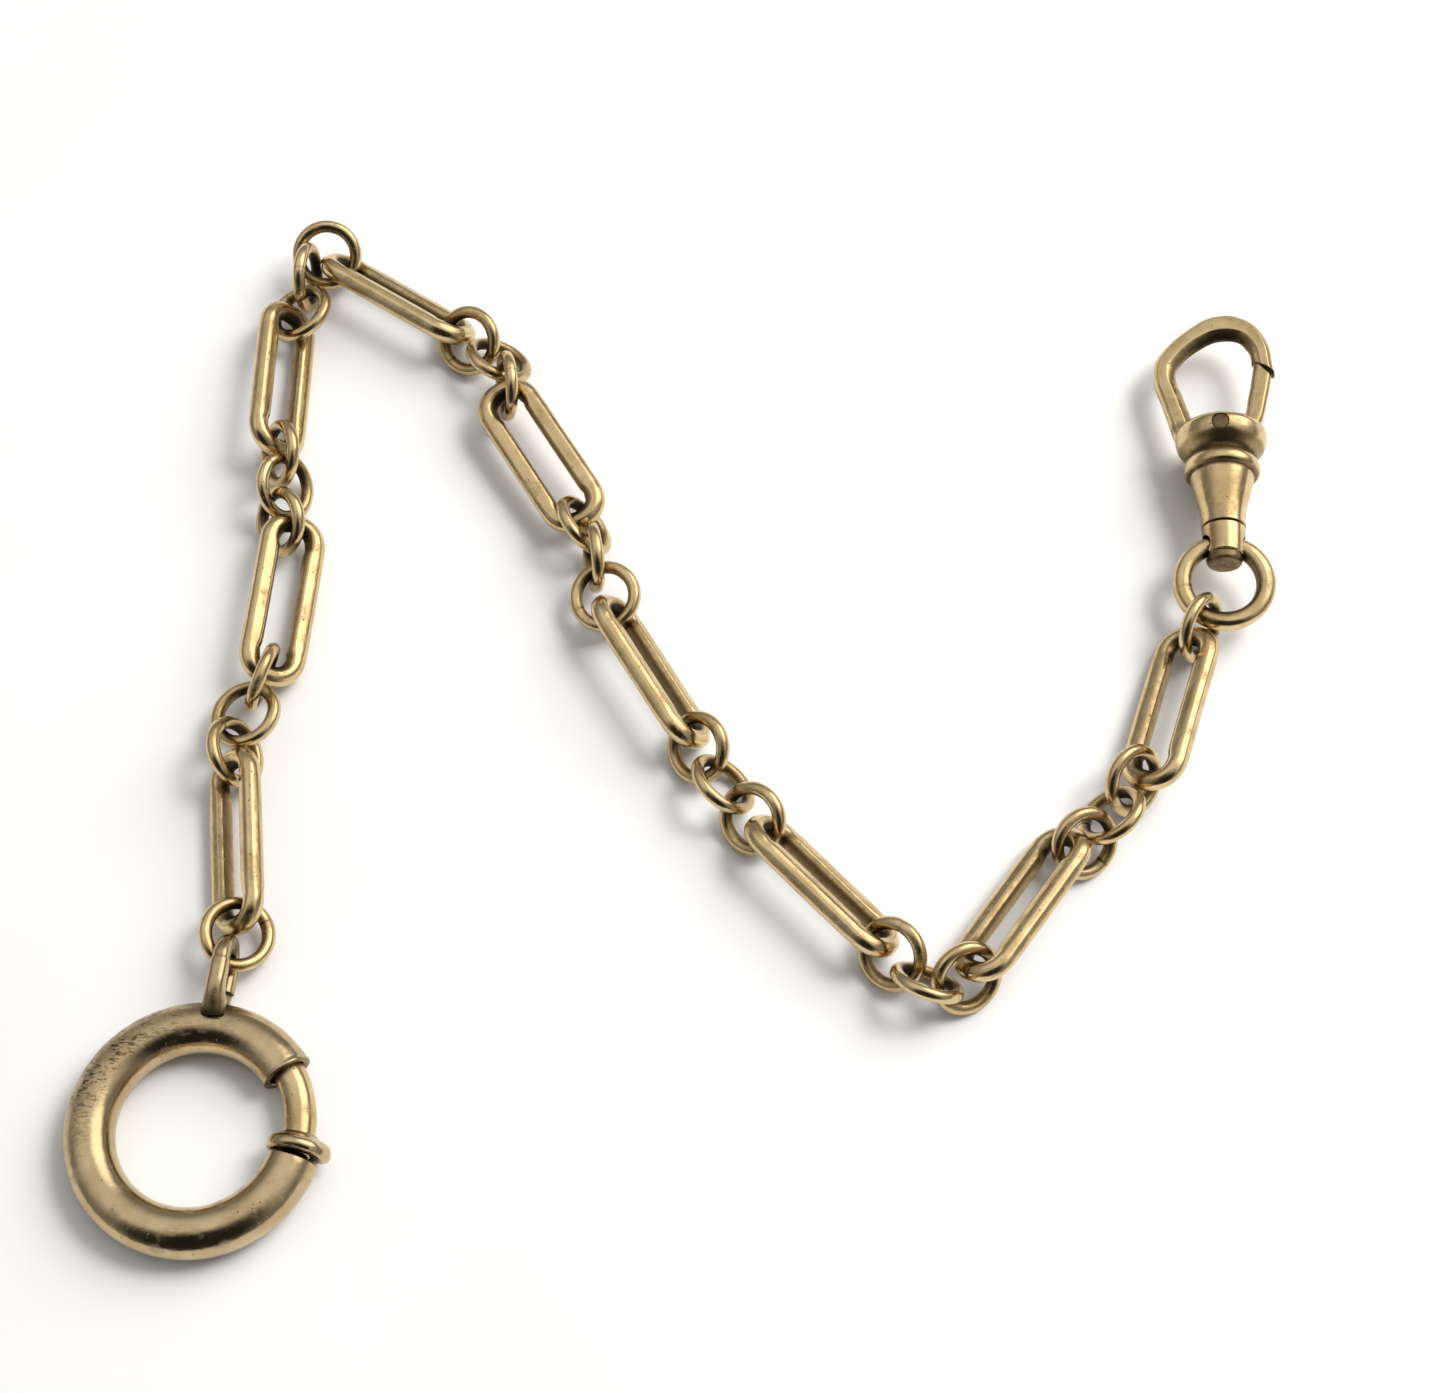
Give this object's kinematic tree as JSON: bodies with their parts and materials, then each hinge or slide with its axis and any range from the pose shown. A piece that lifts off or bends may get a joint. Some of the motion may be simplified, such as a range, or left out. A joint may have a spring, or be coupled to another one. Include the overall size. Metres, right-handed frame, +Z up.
{
  "type": "pocket watch chain",
  "caption": "Pocket watch chain of long oval links and small round rings, with a bolt ring at one end and a swivel hook at the other.",
  "frame": {"origin": "middle of the laid-out chain in plan, on the table it lies on", "axes": "+X to the right across the laid-out chain, the bolt ring at low X and low Y and the swivel at high X; +Y towards the far side; +Z up from the table"},
  "size_m": [0.0948, 0.089, 0.0075],
  "materials": {
    "gold": "worn polished antique gold",
    "rose": "worn polished gold, slightly redder",
    "steel": "plain steel"
  },
  "bodies": {
    "bolt_ring": {"ring_tube": "rose", "ring_eye": "rose", "spring_stop": "steel", "tongue_spring": "steel"},
    "tongue": {"tongue": "gold", "tongue_collar": "gold"},
    "ring_01": {"ring_01": "gold"},
    "link_1": {"link_1": "gold"},
    "ring_02": {"ring_02": "gold"},
    "ring_03": {"ring_03": "gold"},
    "ring_04": {"ring_04": "gold"},
    "link_2": {"link_2": "gold"},
    "ring_05": {"ring_05": "gold"},
    "ring_06": {"ring_06": "gold"},
    "ring_07": {"ring_07": "gold"},
    "link_3": {"link_3": "gold"},
    "ring_08": {"ring_08": "gold"},
    "ring_09": {"ring_09": "gold"},
    "ring_10": {"ring_10": "gold"},
    "link_4": {"link_4": "gold"},
    "ring_11": {"ring_11": "gold"},
    "ring_12": {"ring_12": "gold"},
    "ring_13": {"ring_13": "gold"},
    "link_5": {"link_5": "gold"},
    "ring_14": {"ring_14": "gold"},
    "ring_15": {"ring_15": "gold"},
    "ring_16": {"ring_16": "gold"},
    "link_6": {"link_6": "gold"},
    "ring_17": {"ring_17": "gold"},
    "ring_18": {"ring_18": "gold"},
    "ring_19": {"ring_19": "gold"},
    "link_7": {"link_7": "gold"},
    "ring_20": {"ring_20": "gold"},
    "ring_21": {"ring_21": "gold"},
    "ring_22": {"ring_22": "gold"},
    "link_8": {"link_8": "gold"},
    "ring_23": {"ring_23": "gold"},
    "ring_24": {"ring_24": "gold"},
    "ring_25": {"ring_25": "gold"},
    "link_9": {"link_9": "gold"},
    "ring_26": {"ring_26": "gold"},
    "swivel_ring": {"swivel_ring": "gold"},
    "swivel_stud": {"swivel_stud": "gold"},
    "swivel_body": {"swivel_body": "gold", "hook": "gold", "gate_pin": "steel", "gate_spring": "steel"},
    "gate": {"gate": "gold"}
  },
  "joints": [
    {"name": "tongue_slide", "type": "hinge", "parent": "bolt_ring", "child": "tongue", "pos_m": [-0.03776, -0.03487, 0.00194], "axis": [0, 0, 1], "range_deg": [0, 36], "stiffness_Nm_per_rad": 0.004, "springref_deg": -11.46, "deforming": ["tongue_spring"]},
    {"name": "gate_turn", "type": "hinge", "parent": "swivel_body", "child": "gate", "pos_m": [0.04254, 0.02263, 0.0038], "axis": [-0.1899, 0.0202, 0.9816], "range_deg": [0, 20], "stiffness_Nm_per_rad": 0.003, "springref_deg": -11.46},
    {"name": "swivel_turn", "type": "hinge", "parent": "swivel_stud", "child": "swivel_body", "pos_m": [0.04195, 0.01305, 0.00388], "axis": [0.061, 0.9981, -0.0087], "continuous": true},
    {"name": "stud_swing", "type": "hinge", "parent": "swivel_ring", "child": "swivel_stud", "pos_m": [0.04195, 0.01305, 0.00388], "axis": [-0.9981, 0.061, 0], "range_deg": [-24, 24]},
    {"name": "ring_01_swing", "type": "hinge", "parent": "bolt_ring", "child": "ring_01", "pos_m": [-0.03634, -0.02142, 0.00228], "axis": [0, 0, 1], "range_deg": [-16, 30]},
    {"name": "link_1_swing", "type": "hinge", "parent": "ring_01", "child": "link_1", "pos_m": [-0.03582, -0.01821, 0.00228], "axis": [0, 0, -1], "range_deg": [-16, 14]},
    {"name": "ring_02_swing", "type": "hinge", "parent": "link_1", "child": "ring_02", "pos_m": [-0.03707, -0.00633, 0.00228], "axis": [0, 0, 1], "range_deg": [-30, 24]},
    {"name": "ring_03_swing", "type": "hinge", "parent": "ring_02", "child": "ring_03", "pos_m": [-0.03738, -0.00316, 0.00228], "axis": [0, 0, -1], "range_deg": [-30, 6]},
    {"name": "ring_04_swing", "type": "hinge", "parent": "ring_03", "child": "ring_04", "pos_m": [-0.03606, 0.00001, 0.00228], "axis": [0, 0, 1], "range_deg": [-30, 24]},
    {"name": "link_2_swing", "type": "hinge", "parent": "ring_04", "child": "link_2", "pos_m": [-0.03497, 0.00291, 0.00228], "axis": [0, 0, -1], "range_deg": [-14, 20]},
    {"name": "ring_05_swing", "type": "hinge", "parent": "link_2", "child": "ring_05", "pos_m": [-0.03394, 0.01474, 0.00228], "axis": [0, 0, 1], "range_deg": [-24, 24]},
    {"name": "ring_06_swing", "type": "hinge", "parent": "ring_05", "child": "ring_06", "pos_m": [-0.03585, 0.01747, 0.00228], "axis": [0, 0, -1], "range_deg": [-30, 26]},
    {"name": "ring_07_swing", "type": "hinge", "parent": "ring_06", "child": "ring_07", "pos_m": [-0.03456, 0.02077, 0.00228], "axis": [0, 0, 1], "range_deg": [-30, 30]},
    {"name": "link_3_swing", "type": "hinge", "parent": "ring_07", "child": "link_3", "pos_m": [-0.03601, 0.02366, 0.00228], "axis": [0, 0, -1], "range_deg": [-20, 10]},
    {"name": "ring_08_swing", "type": "hinge", "parent": "link_3", "child": "ring_08", "pos_m": [-0.03601, 0.03534, 0.00228], "axis": [0, 0, 1], "range_deg": [-10, 4]},
    {"name": "ring_09_swing", "type": "hinge", "parent": "ring_08", "child": "ring_09", "pos_m": [-0.03458, 0.03809, 0.00228], "axis": [0, 0, -1], "range_deg": [-18, 8]},
    {"name": "ring_10_swing", "type": "hinge", "parent": "ring_09", "child": "ring_10", "pos_m": [-0.03434, 0.04103, 0.00228], "axis": [0, 0, 1], "range_deg": [-4, 12]},
    {"name": "link_4_swing", "type": "hinge", "parent": "ring_10", "child": "link_4", "pos_m": [-0.03178, 0.04114, 0.00228], "axis": [0, 0, -1], "range_deg": [-14, 14]},
    {"name": "ring_11_swing", "type": "hinge", "parent": "link_4", "child": "ring_11", "pos_m": [-0.02172, 0.0346, 0.00228], "axis": [0, 0, 1], "range_deg": [-12, 30]},
    {"name": "ring_12_swing", "type": "hinge", "parent": "ring_11", "child": "ring_12", "pos_m": [-0.01926, 0.03257, 0.00228], "axis": [0, 0, -1], "range_deg": [-30, 30]},
    {"name": "ring_13_swing", "type": "hinge", "parent": "ring_12", "child": "ring_13", "pos_m": [-0.01678, 0.0305, 0.00228], "axis": [0, 0, 1], "range_deg": [-8, 30]},
    {"name": "link_5_swing", "type": "hinge", "parent": "ring_13", "child": "link_5", "pos_m": [-0.01704, 0.02709, 0.00228], "axis": [0, 0, -1], "range_deg": [-10, 10]},
    {"name": "ring_14_swing", "type": "hinge", "parent": "link_5", "child": "ring_14", "pos_m": [-0.01073, 0.01699, 0.00228], "axis": [0, 0, 1], "range_deg": [-12, 8]},
    {"name": "ring_15_swing", "type": "hinge", "parent": "ring_14", "child": "ring_15", "pos_m": [-0.00947, 0.01402, 0.00228], "axis": [0, 0, -1], "range_deg": [-30, 30]},
    {"name": "ring_16_swing", "type": "hinge", "parent": "ring_15", "child": "ring_16", "pos_m": [-0.00905, 0.0106, 0.00228], "axis": [0, 0, 1], "range_deg": [-30, 22]},
    {"name": "link_6_swing", "type": "hinge", "parent": "ring_16", "child": "link_6", "pos_m": [-0.00768, 0.00745, 0.00228], "axis": [0, 0, -1], "range_deg": [-16, 14]},
    {"name": "ring_17_swing", "type": "hinge", "parent": "link_6", "child": "ring_17", "pos_m": [-0.00148, -0.00288, 0.00228], "axis": [0, 0, 1], "range_deg": [-24, 30]},
    {"name": "ring_18_swing", "type": "hinge", "parent": "ring_17", "child": "ring_18", "pos_m": [0.00028, -0.00585, 0.00228], "axis": [0, 0, -1], "range_deg": [-28, 30]},
    {"name": "ring_19_swing", "type": "hinge", "parent": "ring_18", "child": "ring_19", "pos_m": [0.00234, -0.00892, 0.00228], "axis": [0, 0, 1], "range_deg": [-30, 26]},
    {"name": "link_7_swing", "type": "hinge", "parent": "ring_19", "child": "link_7", "pos_m": [0.00461, -0.01153, 0.00228], "axis": [0, 0, -1], "range_deg": [-28, 26]},
    {"name": "ring_20_swing", "type": "hinge", "parent": "link_7", "child": "ring_20", "pos_m": [0.013, -0.02021, 0.00228], "axis": [0, 0, 1], "range_deg": [-26, 28]},
    {"name": "ring_21_swing", "type": "hinge", "parent": "ring_20", "child": "ring_21", "pos_m": [0.01528, -0.02279, 0.00228], "axis": [0, 0, -1], "range_deg": [-18, 30]},
    {"name": "ring_22_swing", "type": "hinge", "parent": "ring_21", "child": "ring_22", "pos_m": [0.01814, -0.02395, 0.00228], "axis": [0, 0, 1], "range_deg": [-30, 10]},
    {"name": "link_8_swing", "type": "hinge", "parent": "ring_22", "child": "link_8", "pos_m": [0.02063, -0.0223, 0.00228], "axis": [0, 0, -1], "range_deg": [-24, 16]},
    {"name": "ring_23_swing", "type": "hinge", "parent": "link_8", "child": "ring_23", "pos_m": [0.02763, -0.01267, 0.00228], "axis": [0, 0, 1], "range_deg": [-24, 16]},
    {"name": "ring_24_swing", "type": "hinge", "parent": "ring_23", "child": "ring_24", "pos_m": [0.03035, -0.01123, 0.00228], "axis": [0, 0, -1], "range_deg": [-30, 18]},
    {"name": "ring_25_swing", "type": "hinge", "parent": "ring_24", "child": "ring_25", "pos_m": [0.03234, -0.00857, 0.00228], "axis": [0, 0, 1], "range_deg": [-16, 30]},
    {"name": "link_9_swing", "type": "hinge", "parent": "ring_25", "child": "link_9", "pos_m": [0.03484, -0.00645, 0.00228], "axis": [0, 0, -1], "range_deg": [-8, 6]},
    {"name": "ring_26_swing", "type": "hinge", "parent": "link_9", "child": "ring_26", "pos_m": [0.0387, 0.00477, 0.00228], "axis": [0, 0, 1], "range_deg": [-6, 8]},
    {"name": "swivel_ring_swing", "type": "hinge", "parent": "ring_26", "child": "swivel_ring", "pos_m": [0.04058, 0.00744, 0.00228], "axis": [0, 0, -1], "range_deg": [-16, 16]}
  ]
}
